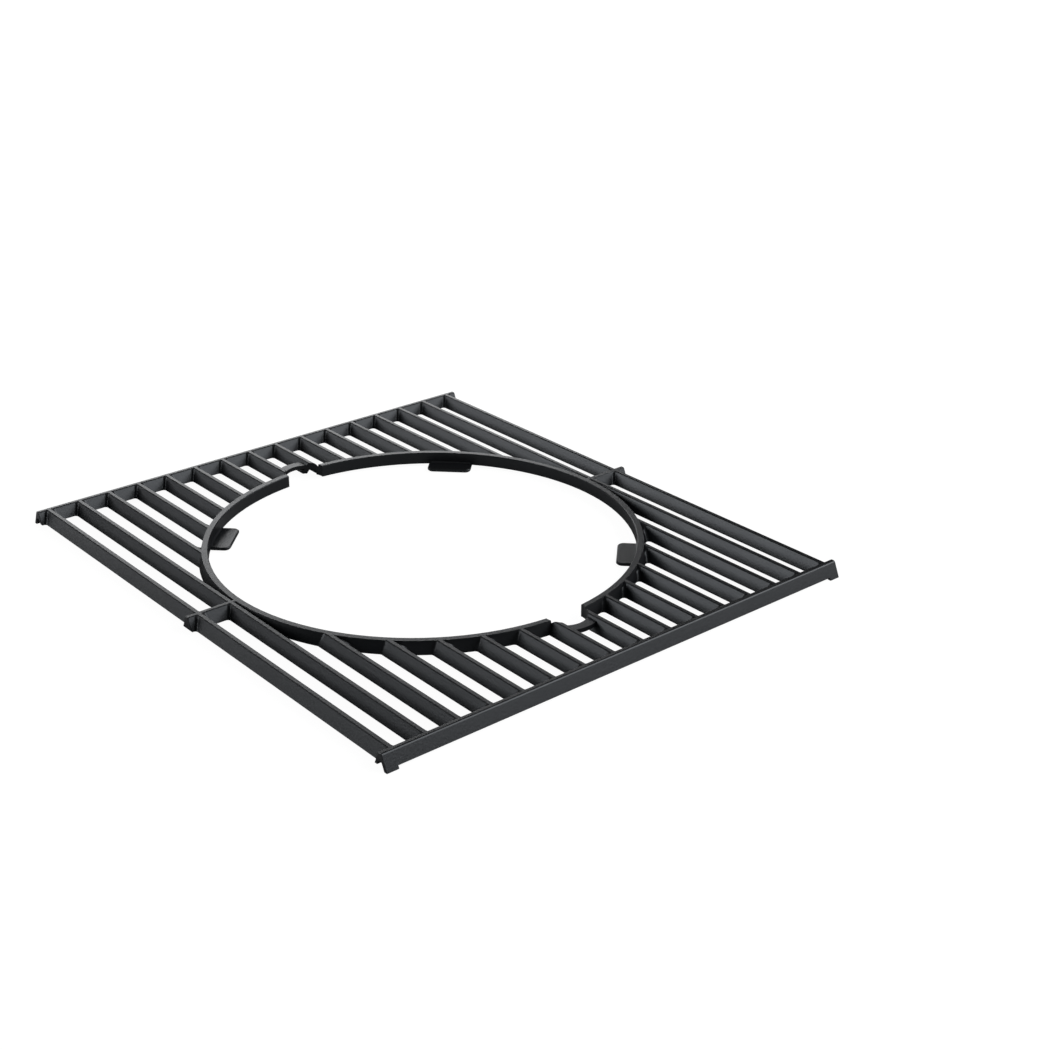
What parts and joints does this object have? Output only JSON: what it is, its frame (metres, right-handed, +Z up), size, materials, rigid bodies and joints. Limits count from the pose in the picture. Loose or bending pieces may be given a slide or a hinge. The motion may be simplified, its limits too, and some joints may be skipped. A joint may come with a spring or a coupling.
{
  "type": "grill grate",
  "caption": "Rectangular cast-iron grill grate of tapered bars around a round opening, with ledge tabs for a drop-in insert and notches for a lifting tool.",
  "frame": {"origin": "centre of the round opening, on the plane that the four feet stand on", "axes": "+Z up, +Y along the long bars, +X along the end bars"},
  "size_m": [0.39, 0.445, 0.0114],
  "materials": {
    "enamelled_cast_iron": "matt dark grey porcelain enamel"
  },
  "bodies": {
    "root": {"grill_grate": "enamelled_cast_iron"}
  },
  "joints": []
}
